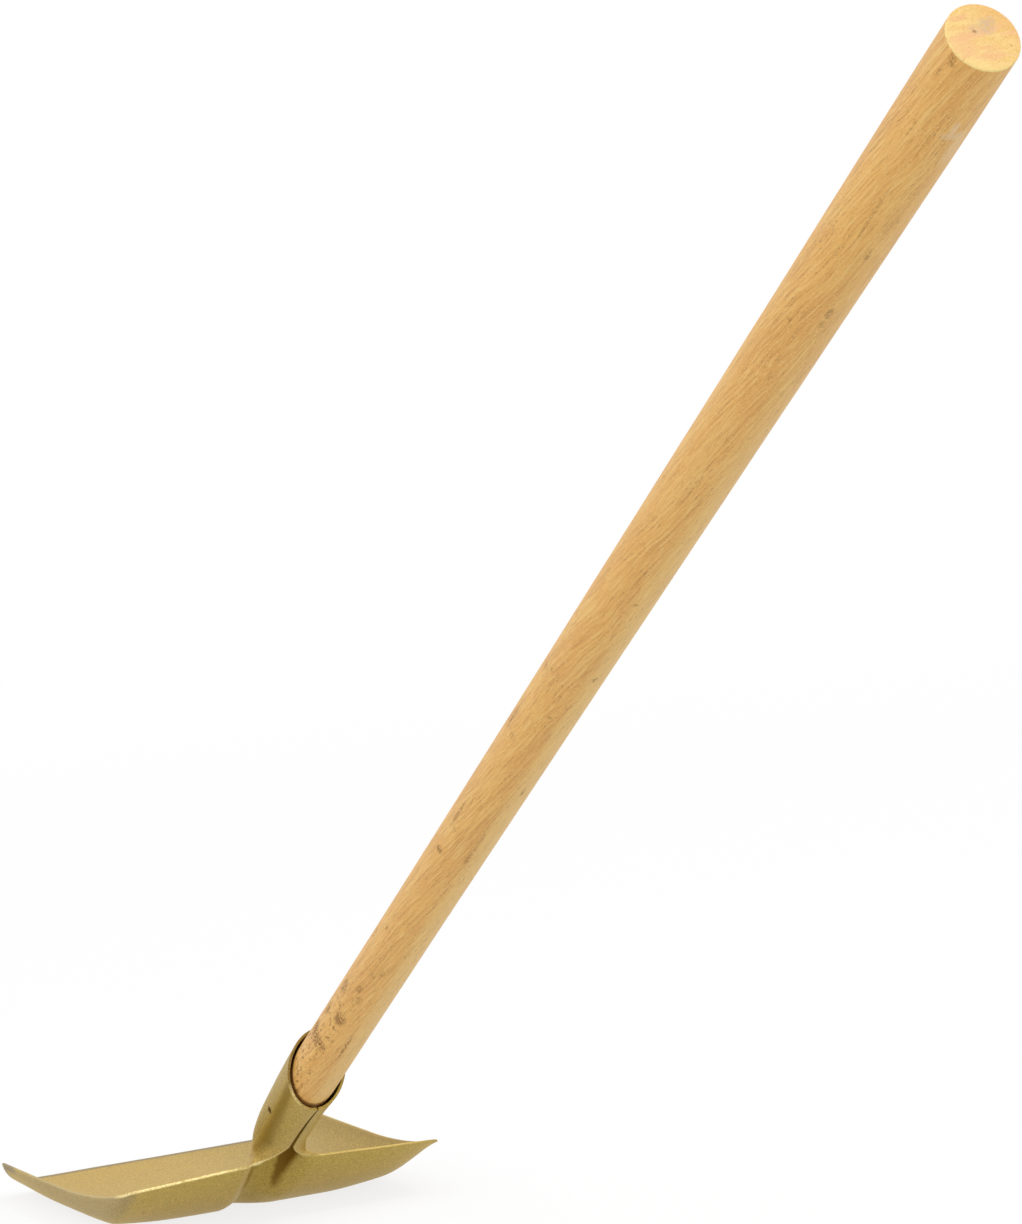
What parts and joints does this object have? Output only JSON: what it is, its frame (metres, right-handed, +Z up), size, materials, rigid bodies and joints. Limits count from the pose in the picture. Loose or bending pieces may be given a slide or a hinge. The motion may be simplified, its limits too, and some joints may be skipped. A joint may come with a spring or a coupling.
{
  "type": "scoop shovel",
  "caption": "Square-mouth scoop shovel with a pressed steel pan, a rolled open socket and a long straight wooden handle.",
  "frame": {"origin": "middle of the flat underside of the pan's floor, with the pan up", "axes": "+Y from the handle towards the cutting edge, +X across the pan to the right as seen from the handle, +Z up out of the pan"},
  "size_m": [0.2223, 1.2765, 0.6769],
  "materials": {
    "painted_steel": "fine metallic bronze-gold paint, half gloss",
    "bare_hardwood": "bare turned hardwood, smooth, with fine lengthwise grain",
    "nail_iron": "plain dull steel"
  },
  "bodies": {
    "root": {"shovel_head": "painted_steel", "handle": "bare_hardwood", "fixing_nail": "nail_iron"}
  },
  "joints": []
}
